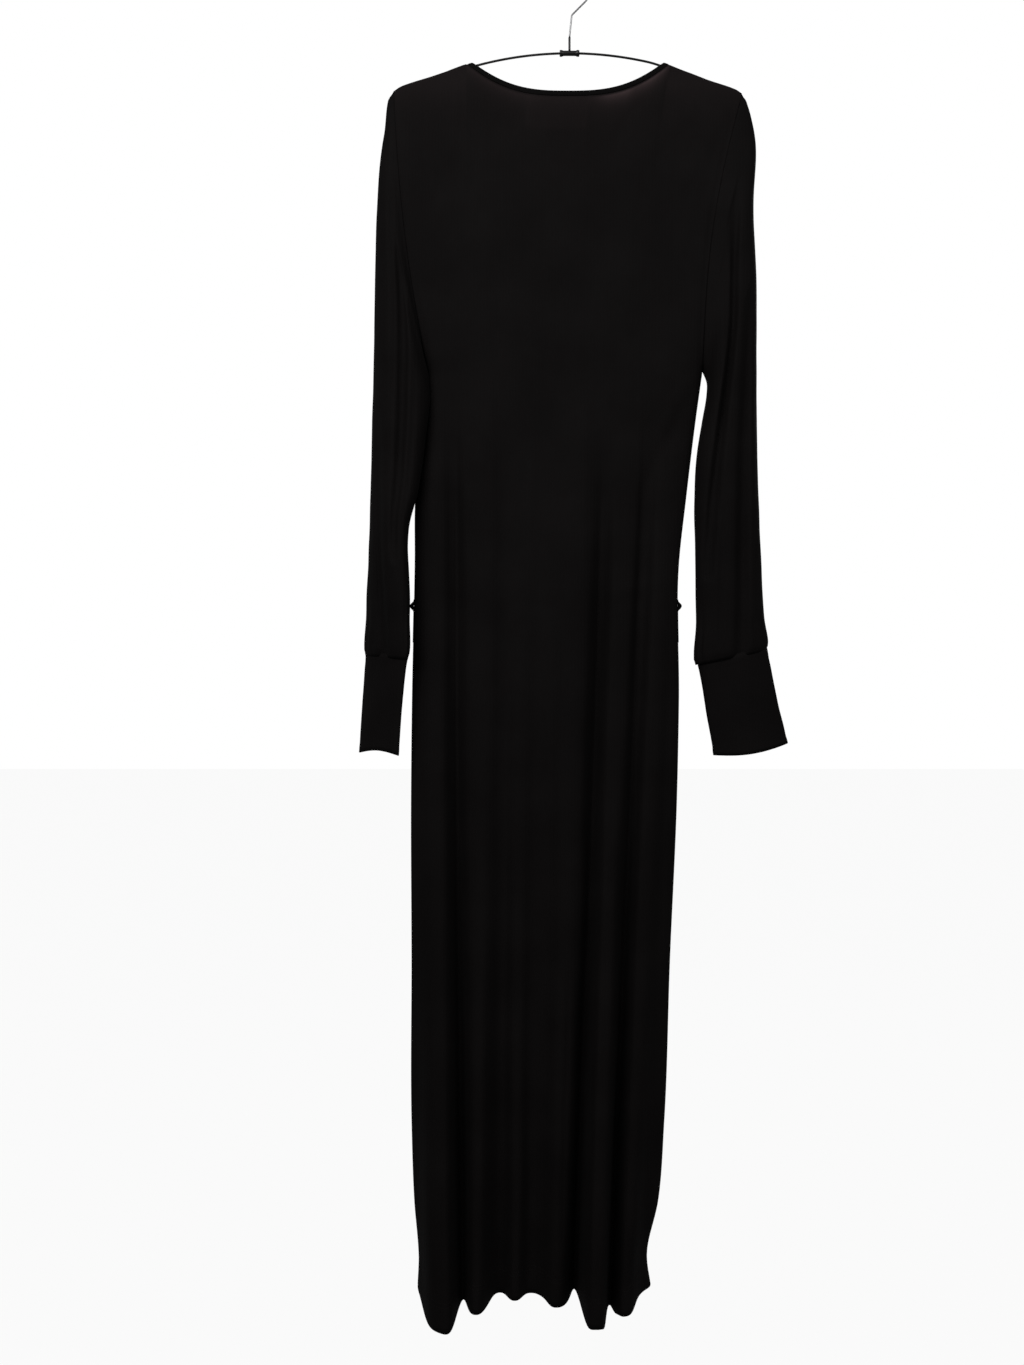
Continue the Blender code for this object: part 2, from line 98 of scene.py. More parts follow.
# Shoulders, necklines and armholes, as in the solids. SEAT is how far the cloth's top stands above the wire's
# centre line. The ease is how fast the rows level out below the neckline, the turn the share of the armhole in
# which the cloth reaches its full stand, and the arch how square the panels are in cross-section. Rows crowd
# towards the shoulders by the row power. The spread and the fade are the shares of the sleeve in which its points
# spread out evenly and the armhole seam's sideways bow dies out.
SEAT = 0.0050
SHOULDER_EASE = 2.5
SHOULDER_TURN = 0.5
PANEL_ARCH = 6
NECK_HALF = 0.58
BACK_NECK_Z, BACK_NECK_POWER = -0.1430, 2.8
FRONT_NECK_Z, FRONT_NECK_POWER = -0.1850, 2.2
NECK_STAND = 0.50
BINDING_WIDTH = 0.0060
BINDING_TILT = math.radians(70)
UNDERARM_Z = -0.4491
ARMHOLE = {
    "left": {"shoulder_x": -0.1989, "underarm_x": -0.1620, "bow": -0.0060},
    "right": {"shoulder_x": 0.1908, "underarm_x": 0.1465, "bow": -0.0120},
}
ARMHOLE_HALF_DEPTH = 0.015
ROW_POWER = 1.9
SLEEVE_SPREAD, BOW_FADE = 0.40, 0.35

# How far the cloth's top edge lies off the bow's line towards the shoulders, by place across, in millimetres
SHOULDER_LINE = (
    (-1.0, -0.9),
    (-0.989, -0.2),
    (-0.977, 0.6),
    (-0.966, 1.2),
    (-0.943, 1.5),
    (-0.920, 1.4),
    (-0.874, 1.0),
    (-0.828, 0.3),
    (-0.780, -0.3),
    (-0.700, -0.8),
    (-0.600, 0.0),
    (0.700, 0.0),
    (0.828, -0.5),
    (0.874, -1.0),
    (0.908, -1.5),
    (0.931, -1.9),
    (0.954, -2.5),
    (0.966, -2.8),
    (0.977, -3.4),
    (0.989, -4.3),
    (1.0, -5.0),
)

# Side seams below the underarms, and how far the back and the front stand off the side seams' plane
BODY_COLUMNS = ("z", "left", "right", "back", "front")
BODY = (
    (-0.4491, -0.1620, 0.1465, 0.015, 0.019),
    (-0.5029, -0.1650, 0.1390, 0.015, 0.020),
    (-0.5925, -0.1752, 0.1281, 0.015, 0.020),
    (-0.6597, -0.1757, 0.1206, 0.015, 0.020),
    (-0.8165, -0.1788, 0.1203, 0.017, 0.022),
    (-0.9285, -0.1799, 0.1180, 0.018, 0.024),
    (-1.1077, -0.1793, 0.1102, 0.019, 0.027),
    (-1.2869, -0.1793, 0.1039, 0.020, 0.030),
    (-1.3765, -0.1762, 0.0971, 0.020, 0.031),
    (-1.4414, -0.1712, 0.0844, 0.020, 0.032),
    (-1.4705, -0.1725, 0.0885, 0.020, 0.032),
)
HEM_Z = -1.4705

# The hem dips where its folds stand out, and its lobes drop further. Both start at this share of the skirt. The
# lobes are those of the back, and the front has none of its own.
HEM_DIP, HEM_DIP_START = 0.15, 0.5
LOBE_COLUMNS = ("x", "width", "drop")
BACK_LOBES = (
    (-0.1465, 0.0235, 0.0155),
    (-0.1040, 0.0140, 0.0050),
    (-0.0158, 0.0130, 0.0040),
    (0.0221, 0.0170, 0.0070),
    (0.0390, 0.0080, 0.0060),
    (0.0548, 0.0140, 0.0090),
)
LOBE_SQUARENESS = 5

# Folds: where each runs at the waist and at the hem, where it starts, and its half width and height at both.
# They grow faster than straight towards the hem, fade in over FOLD_FADE below their start, and wander a little.
# At the hem the deepest ones are squarer than the rest.
WAIST_Z = -0.7050
FOLD_GROWTH, FOLD_FADE = 1.7, 0.25
FOLD_ROUNDNESS, SQUARE_FOLD, DEEP_FOLD = 2.6, 4.2, 0.050
WANDER, WANDER_LENGTH, WANDER_STEP = 1.6 * MM, 0.16, 3.7
FOLD_COLUMNS = ("waist_x", "hem_x", "start_z", "waist_width", "hem_width", "waist_height", "hem_height")
BACK_FOLDS = (
    (-0.157, -0.1455, -0.30, 0.016, 0.0215, 0.004, 0.055),
    (-0.130, -0.1228, -0.42, 0.009, 0.0065, -0.009, -0.016),
    (-0.097, -0.1060, -0.45, 0.018, 0.0140, 0.005, 0.030),
    (-0.077, -0.0801, -0.36, 0.010, 0.0080, -0.0015, -0.004),
    (-0.055, -0.0635, -0.60, 0.012, 0.0090, 0.0015, 0.012),
    (-0.040, -0.0446, -0.60, 0.010, 0.0080, -0.0012, -0.003),
    (0.001, -0.0175, -0.40, 0.018, 0.0140, 0.006, 0.018),
    (0.031, 0.0050, -0.50, 0.009, 0.0065, -0.011, -0.018),
    (0.050, 0.0222, -0.50, 0.014, 0.0155, 0.004, 0.054),
    (0.078, 0.0400, -0.46, 0.009, 0.0055, -0.010, -0.016),
    (0.097, 0.0575, -0.50, 0.014, 0.0160, 0.003, 0.031),
)
FRONT_FOLDS = (
    (-0.140, -0.1400, -0.40, 0.020, 0.0190, 0.004, 0.036),
    (-0.112, -0.1080, -0.46, 0.010, 0.0090, -0.006, -0.010),
    (-0.078, -0.0780, -0.42, 0.022, 0.0190, 0.005, 0.024),
    (-0.042, -0.0460, -0.52, 0.010, 0.0090, -0.006, -0.012),
    (-0.010, -0.0170, -0.44, 0.022, 0.0180, 0.005, 0.032),
    (0.026, 0.0130, -0.50, 0.010, 0.0085, -0.006, -0.011),
    (0.060, 0.0440, -0.46, 0.020, 0.0180, 0.005, 0.034),
)

# Creases: a soft ridge (height over 0) or trough from one point to another, in millimetres. Each
# fades over CREASE_FADE of its length at both ends.
CREASE_FADE = 0.2
CREASE_COLUMNS = ("x1", "z1", "x2", "z2", "width", "height")
BACK_CREASES = (
    (-186, -150, -120, -262, 9, 0.9),
    (-176, -176, -138, -300, 8, -1.1),
    (-150, -168, -96, -214, 8, -0.7),
    (176, -152, 118, -250, 9, 0.9),
    (164, -186, 132, -318, 8, -1.1),
    (140, -170, 92, -216, 8, -0.7),
    (-98, -134, -58, -172, 6, -0.6),
    (90, -134, 56, -176, 6, -0.6),
    (-40, -150, -8, -158, 7, 0.5),
    (12, -152, 44, -148, 6, 0.5),
    (-160, -440, -112, -512, 8, 0.9),
    (-150, -452, -86, -560, 8, -1.0),
    (144, -446, 98, -520, 8, 0.9),
    (132, -470, 78, -590, 8, -1.0),
    (-150, -690, -60, -712, 8, 0.6),
    (-124, -700, -10, -716, 7, -0.6),
    (28, -712, 104, -694, 7, -0.7),
    (44, -700, 112, -684, 7, 0.7),
    (-150, -560, -128, -900, 8, -0.9),
    (-84, -330, -78, -700, 9, -0.6),
    (-70, -740, -76, -1130, 7, -0.7),
    (-30, -420, -38, -760, 8, -0.5),
    (-20, -760, -33, -1250, 7, -0.8),
    (16, -480, 6, -900, 8, 0.5),
    (-129, -560, -126, -1420, 3.2, -2.2),
    (32, -640, 12, -1420, 3.0, -2.4),
    (77, -600, 48, -1380, 3.0, -2.0),
    (-4, -1130, -12, -1400, 3.0, -1.4),
    (52, -300, 46, -600, 9, -0.9),
    (64, -760, 52, -1120, 6, 0.8),
    (108, -760, 92, -1180, 6, -1.0),
    (-166, -900, -160, -1300, 6, -1.1),
    (-98, -900, -100, -1280, 6, 0.9),
)
FRONT_CREASES = (
    (-184, -152, -112, -270, 9, 0.9),
    (-172, -182, -130, -318, 8, -1.1),
    (174, -156, 112, -262, 9, 0.9),
    (160, -190, 126, -326, 8, -1.1),
    (-84, -150, -52, -222, 7, -0.7),
    (76, -150, 46, -222, 7, -0.7),
    (-58, -206, 48, -208, 8, 0.6),
    (-156, -446, -100, -540, 8, -1.0),
    (140, -452, 92, -548, 8, -1.0),
    (-140, -694, -50, -716, 8, 0.6),
    (30, -714, 108, -690, 7, -0.7),
    (-96, -340, -92, -760, 9, -1.0),
    (-60, -420, -62, -900, 8, 0.9),
    (8, -380, 2, -800, 9, -0.9),
    (42, -520, 34, -1000, 8, 0.9),
    (96, -600, 86, -1100, 7, -1.0),
    (-150, -760, -152, -1250, 7, -1.1),
    (-30, -860, -34, -1300, 7, 0.9),
)

# Light painted into the back's colour where it would show through the thin cloth: how strong the painted
# streak under the neck's binding is, by place across, how far below the neck edge the streak starts, peaks and
# fades, a faint painted glow on the yoke and over the label, and its colour
NECK_LIGHT = (
    (-0.60, 0.18),
    (-0.30, 0.19),
    (-0.12, 0.04),
    (0.10, 0.04),
    (0.16, 0.20),
    (0.24, 0.75),
    (0.34, 1.00),
    (0.39, 0.65),
    (0.48, 1.00),
    (0.55, 0.70),
    (0.60, 0.40),
)
LIGHT_START, LIGHT_PEAK, LIGHT_FADE = 1.0 * MM, 3.5 * MM, 6.5 * MM
YOKE_LIGHT, YOKE_FADE = 0.11, 30.0 * MM
LABEL_LIGHT = 0.04
PAINTED_SHOW_THROUGH = "#3f3435"

# Sleeves: the outer and the inner edge of each cross-section, half its depth, and how far it is turned
SLEEVE_COLUMNS = ("outer_x", "outer_z", "inner_x", "inner_z", "half_depth", "turn")
SLEEVES = {
    "left": (
        (-0.1989, -0.1333, -0.1620, -0.4491, 0.015, 0.000),
        (-0.2135, -0.2005, -0.1642, -0.4650, 0.022, 0.005),
        (-0.2191, -0.2733, -0.1640, -0.4830, 0.028, 0.009),
        (-0.2215, -0.3573, -0.1668, -0.5090, 0.032, 0.012),
        (-0.2233, -0.4469, -0.1705, -0.5420, 0.033, 0.015),
        (-0.2258, -0.5421, -0.1768, -0.5890, 0.033, 0.018),
        (-0.2286, -0.6317, -0.1817, -0.6430, 0.031, 0.022),
        (-0.2322, -0.7045, -0.1792, -0.7100, 0.027, 0.026),
        (-0.2338, -0.7661, -0.1814, -0.7717, 0.017, 0.028),
    ),
    "right": (
        (0.1908, -0.1333, 0.1465, -0.4491, 0.015, 0.000),
        (0.2037, -0.1949, 0.1511, -0.4626, 0.020, 0.001),
        (0.2035, -0.2621, 0.1505, -0.4805, 0.024, 0.002),
        (0.2071, -0.3461, 0.1455, -0.5074, 0.027, 0.002),
        (0.2076, -0.4357, 0.1399, -0.5432, 0.028, 0.003),
        (0.2083, -0.5365, 0.1371, -0.5902, 0.027, 0.003),
        (0.2116, -0.6373, 0.1380, -0.6462, 0.025, 0.004),
        (0.2158, -0.7101, 0.1385, -0.7157, 0.023, 0.004),
        (0.2181, -0.7616, 0.1382, -0.7773, 0.017, 0.004),
    ),
}

# Sleeve folds: place across at both ends, start and end along, width, depth, and whether it is on the back
SLEEVE_FOLD_COLUMNS = ("start_across", "end_across", "start", "end", "width", "depth", "on_back")
SLEEVE_FOLDS = {
    "left": (
        (0.52, 0.70, 0.10, 0.80, 0.09, 0.0085, 1),
        (0.15, 0.50, 0.55, 1.05, 0.10, 0.0090, 1),
        (0.30, 0.42, 0.05, 0.50, 0.06, 0.0016, 1),
        (0.78, 0.84, 0.30, 0.75, 0.05, 0.0018, 1),
        (0.40, 0.55, 0.15, 0.85, 0.10, 0.0050, 0),
        (0.70, 0.45, 0.50, 1.00, 0.07, 0.0022, 0),
    ),
    "right": (
        (0.30, 0.86, 0.08, 0.82, 0.08, 0.0095, 1),
        (0.18, 0.42, 0.35, 1.05, 0.09, 0.0090, 1),
        (0.55, 0.64, 0.10, 0.55, 0.06, 0.0018, 1),
        (0.60, 0.70, 0.62, 1.00, 0.05, 0.0018, 1),
        (0.45, 0.60, 0.12, 0.80, 0.10, 0.0050, 0),
        (0.70, 0.40, 0.45, 1.00, 0.07, 0.0022, 0),
    ),
}

# Where a sleeve's head rounds out past its solid, how far, and the stretches along it in which that grows and
# fades. It starts as low as the shoulder line, and comes back to its solid over HEAD_DROP.
SLEEVE_HEAD_COLUMNS = ("round", "grow", "fade")
SLEEVE_HEADS = {
    "left": (4.2 * MM, (0.0, 0.020), (0.02, 0.095)),
    "right": (3.0 * MM, (0.0, 0.018), (0.08, 0.30)),
}
HEAD_DROP = 0.06

# The left sleeve's inner edge leans towards the body, from the armhole down to above the cuff
SLEEVE_LEAN, LEAN_START, LEAN_END = 6.0 * MM, (0.0, 0.10), (0.60, 0.72)

# Gathers where a sleeve is drawn in to its cuff, and how the cloth puffs over the seam
GATHER_HEIGHT, GATHER_RUN = 1.1 * MM, (0.84, 0.985)
GATHER_WAVES = {"left": 15, "right": 17}
PUFF, PUFF_START, PUFF_END = 2.2 * MM, (0.90, 0.975), (0.985, 1.0)
SEAM_START = 0.97

# Cuffs: tucked up into the sleeves, lifted a little at both of their hems, and sagging in the middle of the
# open end
CUFF_TUCK, CUFF_TUCK_RISE, CUFF_TUCK_IN = 0.04, 5.0 * MM, 1.0 * MM
CUFF_HEM, CUFF_TOP_HEM, CUFF_LOW_HEM = 0.5 * MM, (0.02, 0.06), (0.93, 0.96)
CUFF_SAG = {"left": -4.5 * MM, "right": 5.0 * MM}
CUFFS = {
    "left": (
        (-0.2332, -0.7664, -0.1821, -0.7720, 0.0150, 0.0270),
        (-0.2362, -0.8060, -0.1868, -0.8120, 0.0140, 0.0270),
        (-0.2408, -0.8765, -0.1918, -0.8775, 0.0130, 0.0270),
    ),
    "right": (
        (0.2200, -0.7620, 0.1412, -0.7776, 0.0150, 0.0040),
        (0.2305, -0.8120, 0.1490, -0.8210, 0.0120, 0.0040),
        (0.2425, -0.8650, 0.1585, -0.8780, 0.0100, 0.0040),
    ),
}

# Belt loops at the side seams: their top part is twisted into a small knot that stands out, and the rest lies
# flat
LOOP_TOP_Z, LOOP_LENGTH, LOOP_WIDTH, LOOP_WALL = -0.7040, 0.0480, 0.0045, 0.0012
LOOP_SEAT, LOOP_CROWN = -1.0 * MM, 0.3 * MM
LOOP_KNOT, LOOP_BULGE, LOOP_TWIST = 0.30, 2.4 * MM, math.radians(70)

# Label inside the back neck, as a stretch of the back panel: how far it hangs inside it, and how it lifts the
# panel
LABEL_ACROSS = (-0.231, 0.126)
LABEL_DOWN = (0.0120, 0.1320)
LABEL_GAP, LABEL_CURL, LABEL_WAVE = 0.9 * MM, 0.8 * MM, 9
LABEL_LIFT = 0.35 * MM

# Soft relief: the hem's turned-up layer, the dips along the armhole seams, and the snag. It dies out at the
# side seams, as the detail arch says. The unevenness is given by height, size of a hump, number and squeeze in
# X and Z.
HEM_STEP, HEM_TURN = 0.5 * MM, (0.972, 0.978)
SEAM_DIP, SEAM_DIP_WIDTH = 0.9 * MM, 3.5 * MM
SNAG, SNAG_DIP, SNAG_WIDTH = (0.0968, -0.5376), 1.6 * MM, 2.4 * MM
DETAIL_ARCH = 10
PANEL_UNEVEN = ((0.90 * MM, 0.045, 1, 1.0, 1.0), (0.35 * MM, 0.020, 2, 2.2, 0.7))
SLEEVE_UNEVEN, SLEEVE_HUMP = 0.8 * MM, 0.035
CUFF_UNEVEN, CUFF_HUMP = 0.7 * MM, 0.030

# Binding: the round of its face, and how far from its ends' points the round turns from sideways to upwards
BINDING_PUFF, BINDING_TURN = 0.45 * MM, 4.0 * MM

# Ferrule: a barrel waisted in its middle and rolled in at both ends, as shares of its radius, with the shares of
# its half length where it swells and rolls in, and its wall
FERRULE_WAIST, FERRULE_SWELL = 0.78, (0.62, 0.80)
FERRULE_ROLL, FERRULE_LIP = 0.12, (0.93, 1.0)
FERRULE_WALL = COLLAR_RADIUS * 0.6 - WIRE_RADIUS / 2

# Meshes: quads across and down
PANEL_QUADS = {"back": (190, 226), "front": (150, 180)}
ARMHOLE_SHARE = 0.30
SLEEVE_QUADS, CUFF_QUADS = (96, 150), (96, 26)
BINDING_QUADS, LOOP_QUADS, LABEL_QUADS = (360, 6), (8, 60), (60, 34)

# Stitches: pitch, length and thickness of the thread, the lengths sewn, how near the hem's rows come to the side
# seams, and where the rows are
STITCH_PITCH, STITCH_LENGTH, THREAD = 3.0 * MM, 2.1 * MM, 0.28 * MM
NECK_SEAM, NECK_SEAM_ROW = 0.62, 0.16
HEM_SEAM, HEM_SEAM_END = 0.46, 0.004
HEM_SEAM_ROWS = (("upper", 0.9795), ("lower", 0.9825))


def linear(hex_colour):
    """An sRGB hex colour as linear RGBA."""
    parts = [int(hex_colour[i : i + 2], 16) / 255 for i in (1, 3, 5)]
    return (*[p / 12.92 if p <= 0.04045 else ((p + 0.055) / 1.055) ** 2.4 for p in parts], 1.0)


def add_node(material, kind, links=(), stops=(), **settings):
    """Adds one node: settings are its own values or its sockets' ones, links are (socket, source socket), and
    stops are a ramp's (place, hex colour).
    """
    node = material.node_tree.nodes.new(kind)
    for number, (place, colour) in enumerate(stops):
        stop = node.color_ramp.elements[number]
        stop.position, stop.color = place, linear(colour)
    for key, value in settings.items():
        if hasattr(node, key):
            setattr(node, key, value)
        else:
            node.inputs[key.replace("_", " ")].default_value = value
    for socket, source in links:
        material.node_tree.links.new(source, node.inputs[socket])
    return node


def curve_through(columns, table, key):
    """A function that gives a row of a table at any value of its key, on a smooth curve through its rows."""
    rows, key = np.array(table), np.array(key)
    slopes = np.gradient(rows, key, axis=0)

    @functools.lru_cache(maxsize=None)
    def row_at(value):
        k = int(np.clip(np.searchsorted(key, value) - 1, 0, len(key) - 2))
        span = key[k + 1] - key[k]
        t = min(max((value - key[k]) / span, 0.0), 1.0)
        start = (1 + 2 * t) * (1 - t) ** 2 * rows[k] + t * (1 - t) ** 2 * span * slopes[k]
        end = t * t * (3 - 2 * t) * rows[k + 1] + t * t * (t - 1) * span * slopes[k + 1]
        return dict(zip(columns, (start + end).tolist()))

    return row_at


def named(columns, table):
    """The rows of a table with their columns' names."""
    return [dict(zip(columns, row)) for row in table]


BODY_DOWN = curve_through(BODY_COLUMNS, BODY, [-row[0] for row in BODY])
SLEEVE_DOWN = {
    (kind, side): curve_through(SLEEVE_COLUMNS, rows[side], np.linspace(0, 1, len(rows[side])))
    for kind, rows in (("sleeve", SLEEVES), ("cuff", CUFFS))
    for side in ("left", "right")
}
FOLDS = {-1: named(FOLD_COLUMNS, BACK_FOLDS), 1: named(FOLD_COLUMNS, FRONT_FOLDS)}
CREASES = {
    side: [{column: value * MM for column, value in row.items()} for row in named(CREASE_COLUMNS, rows)]
    for side, rows in ((-1, BACK_CREASES), (1, FRONT_CREASES))
}
LOBES = {-1: named(LOBE_COLUMNS, BACK_LOBES), 1: []}
FOLDS_OF_SLEEVE = {side: named(SLEEVE_FOLD_COLUMNS, SLEEVE_FOLDS[side]) for side in ("left", "right")}
HEAD_OF_SLEEVE = {side: dict(zip(SLEEVE_HEAD_COLUMNS, SLEEVE_HEADS[side])) for side in ("left", "right")}


def body_row(z):
    return BODY_DOWN(-z)


def bell(distance, width, power):
    """A hump that is 1 in its middle: a power of 2 makes it round, and a higher one squarer."""
    return math.exp(-((abs(distance) / width) ** power))


def rise(value, low, high):
    """0 up to low, 1 from high on, and a soft step between them."""
    t = min(max((value - low) / (high - low), 0.0), 1.0)
    return t * t * (3 - 2 * t)


def uneven(x, y, z, size, seed):
    """Smooth unevenness from -1 to 1, with humps about `size` metres across."""
    return noise.noise(Vector((x / size + seed * 7.3, y / size - seed * 3.1, z / size + seed * 5.7)))


def bow_arc(x):
    """Height of the bow's wire in the solids: a round arc with straight ends."""
    x = abs(x - BOW_CENTRE_X)
    at_end = math.sqrt(BOW_ARC_RADIUS**2 - BOW_ARC_HALF**2)
    if x > BOW_ARC_HALF:
        return BOW_TOP_Z - BOW_ARC_RADIUS + at_end - (x - BOW_ARC_HALF) * BOW_ARC_HALF / at_end
    return BOW_TOP_Z - BOW_ARC_RADIUS + math.sqrt(BOW_ARC_RADIUS**2 - x * x)


def bow_z(x):
    """Height of the bow's wire with its sag."""
    return bow_arc(x) - BOW_SAG * rise(x, *SAG_START) * (1 - rise(x, *SAG_END))


SHOULDER_Z = bow_z(ARMHOLE["left"]["shoulder_x"]) + SEAT


def armhole_x(side, q):
    seam = ARMHOLE[side]
    straight = seam["shoulder_x"] + (seam["underarm_x"] - seam["shoulder_x"]) * q
    return straight + seam["bow"] * math.sin(math.pi * q)


def armhole_depth(q):
    return ARMHOLE_HALF_DEPTH * math.sqrt(max(4 * q * (1 - q), 0.0))


def armhole_z(q):
    return SHOULDER_Z + q * (UNDERARM_Z - SHOULDER_Z)


def shoulder_turn(q):
    """The share of its full stand that a panel has reached at q."""
    r = min(q / SHOULDER_TURN, 1.0)
    return math.sqrt(r * (2 - r))


def side_arch(across, power):
    """1 over most of a panel, and down to 0 at its side seams."""
    return math.sqrt(max(1 - abs(across) ** power, 0.0))


def shoulder_line(across):
    places, lifts = zip(*SHOULDER_LINE)
    return float(np.interp(across, places, lifts)) * MM


def neck_x(across):
    left, right = armhole_x("left", 0), armhole_x("right", 0)
    return (left + right) / 2 + across * (right - left) / 2


def neck_z(side, across):
    """Height of the neck edge: both necklines end on the bow, and the front's lies lower in between."""
    peak = bow_z(neck_x(NECK_HALF)) + SEAT
    low, power = (BACK_NECK_Z, BACK_NECK_POWER) if side < 0 else (FRONT_NECK_Z, FRONT_NECK_POWER)
    return low + (peak - low) * min(abs(across) / NECK_HALF, 1.0) ** power


def folds(side, x, z):
    """Height of the large folds, which grow from the waist to the hem and wander a little on their way down."""
    down = (z - WAIST_Z) / (HEM_Z - WAIST_Z)
    below = max(down, 0.0)
    total = 0.0
    for number, fold in enumerate(FOLDS[side]):
        wander = WANDER * noise.noise(Vector((number * WANDER_STEP, z / WANDER_LENGTH, 0.0)))
        place = fold["waist_x"] + (fold["hem_x"] - fold["waist_x"]) * down + wander
        width = fold["waist_width"] + (fold["hem_width"] - fold["waist_width"]) * below
        height = fold["waist_height"] + (fold["hem_height"] - fold["waist_height"]) * below**FOLD_GROWTH
        height *= rise(-z, -fold["start_z"], -fold["start_z"] + FOLD_FADE)
        square = below * (SQUARE_FOLD - FOLD_ROUNDNESS) if fold["hem_height"] > DEEP_FOLD else 0.0
        total += height * bell(x - place, width, FOLD_ROUNDNESS + square)
    return total


def creases(side, x, z):
    """Height of the creases: each is soft across and fades out at both of its ends."""
    total = 0.0
    for crease in CREASES[side]:
        from_x, from_z = x - crease["x1"], z - crease["z1"]
        run, fall = crease["x2"] - crease["x1"], crease["z2"] - crease["z1"]
        length = math.hypot(run, fall)
        along = (from_x * run + from_z * fall) / length**2
        off = (from_x * fall - from_z * run) / length
        if -CREASE_FADE < along < 1 + CREASE_FADE and abs(off) < 3 * crease["width"]:
            fade = rise(along, -CREASE_FADE, CREASE_FADE) * (1 - rise(along, 1 - CREASE_FADE, 1 + CREASE_FADE))
            total += crease["height"] * fade * bell(off, crease["width"], 2)
    return total


def stand(side, across, q, x, z):
    """How far a panel stands off the side seams' plane."""
    body = body_row(min(z, UNDERARM_Z))
    full = body["back"] if side < 0 else body["front"]
    turn = shoulder_turn(q)
    neck = side_arch(min(abs(across) / NECK_HALF, 1.0), PANEL_ARCH) * NECK_STAND * (1 - turn)
    inside = full * (turn + neck) + folds(side, x, z)
    edge = armhole_depth(q) if q < 1 else 0.0
    return edge + (inside - edge) * side_arch(across, PANEL_ARCH)


def panel_base(side, across, q, down):
    """A point of a panel's main form: X, how far it stands out, and Z. Down runs from underarm to hem."""
    if q < 1:
        left, right = armhole_x("left", q), armhole_x("right", q)
        x = (left + right) / 2 + across * (right - left) / 2
        top = neck_z(side, across) if abs(across) < NECK_HALF else bow_z(neck_x(across)) + SEAT
        top += shoulder_line(across)
        z = armhole_z(q) + (top - SHOULDER_Z) * (1 - q) ** SHOULDER_EASE
    else:
        z = UNDERARM_Z + down * (HEM_Z - UNDERARM_Z)
        body = body_row(z)
        x = (body["left"] + body["right"]) / 2 + across * (body["right"] - body["left"]) / 2
    out = stand(side, across, q, x, z)
    drops = [lobe["drop"] * bell(x - lobe["x"], lobe["width"], LOBE_SQUARENESS) for lobe in LOBES[side]]
    z -= (HEM_DIP * out + sum(drops)) * rise(down, HEM_DIP_START, 1.0)
    return x, out, z


def panel_point(side, across, v):
    """A point of the finished panel: its main form with creases, unevenness, hem, armhole dips and snag."""
    if v < ARMHOLE_SHARE:
        q, down = (v / ARMHOLE_SHARE) ** ROW_POWER, 0.0
    else:
        q, down = 1.0, (v - ARMHOLE_SHARE) / (1 - ARMHOLE_SHARE)
    x, out, z = panel_base(side, across, q, down)
    inner = side_arch(across, DETAIL_ARCH)
    soft = sum(
        height * uneven(x * squeeze_x, side, z * squeeze_z, hump, number)
        for height, hump, number, squeeze_x, squeeze_z in PANEL_UNEVEN
    )
    out += inner * (rise(q, 0.01, 0.12) * (soft + creases(side, x, z)) + HEM_STEP * rise(down, *HEM_TURN))
    if q < 1:
        from_seam = (1 - abs(across)) * (armhole_x("right", q) - armhole_x("left", q)) / 2
        out -= SEAM_DIP * bell(from_seam - SEAM_DIP_WIDTH, SEAM_DIP_WIDTH, 2) * rise(q, 0.05, 0.2)
    if side < 0:
        from_snag = math.hypot(x - SNAG[0], z - SNAG[1])
        out += label_relief(across, q) - SNAG_DIP * bell(from_snag, SNAG_WIDTH, 2)
    return x, side * out, z


def label_relief(across, q):
    """The label behind the back panel lifts it a little, with a soft step at its edges."""
    (left, right), (top, low) = LABEL_ACROSS, LABEL_DOWN
    sides = rise(across, left - 0.02, left + 0.01) * (1 - rise(across, right - 0.01, right + 0.02))
    return LABEL_LIFT * sides * rise(q, 0.0, top) * (1 - rise(q, low - 0.008, low + 0.012))


def across_of(u):
    """Where a column of a panel stands: columns crowd together a little towards the side seams."""
    return 0.6 * u + 0.4 * math.sin(math.pi / 2 * u)


def column_round(column, around):
    """Whether a column round a sleeve or cuff is on its back, and its share of the way to the inner edge."""
    column %= around
    back = column <= around // 2
    return back, (column if back else around - column) / (around / 2)


def sleeve_point(kind, side, q, back, t):
    """A point of a sleeve's or cuff's main form, with the sleeve's folds."""
    row = SLEEVE_DOWN[kind, side](t)
    x = row["outer_x"] + (row["inner_x"] - row["outer_x"]) * q
    z = row["outer_z"] + (row["inner_z"] - row["outer_z"]) * q
    depth = row["half_depth"] * math.sqrt(max(4 * q * (1 - q), 0.0))
    if kind == "sleeve":
        for fold in FOLDS_OF_SLEEVE[side]:
            run = (t - fold["start"]) / (fold["end"] - fold["start"])
            if fold["on_back"] == back and 0 < run < 1:
                place = fold["start_across"] + (fold["end_across"] - fold["start_across"]) * run
                fade = math.sin(math.pi * run) ** 0.5
                depth -= fold["depth"] * fade * bell(q - place, fold["width"], FOLD_ROUNDNESS)
    return Vector((x, (-depth if back else depth) + row["turn"] * (1 - 2 * q), z))


def away(kind, side, spot, t):
    """The outward direction at a point of a sleeve or cuff, from its middle line."""
    middle = sleeve_point(kind, side, 0.5, True, t)
    middle.y = 0.0
    return (spot - middle).normalized()


def add_mesh(name, bm, *looks):
    mesh = bpy.data.meshes.new(name)
    bm.to_mesh(mesh)
    bm.free()
    mesh.shade_smooth()
    for look in looks:
        mesh.materials.append(look)
    obj = bpy.data.objects.new(name, mesh)
    bpy.context.scene.collection.objects.link(obj)
    return obj


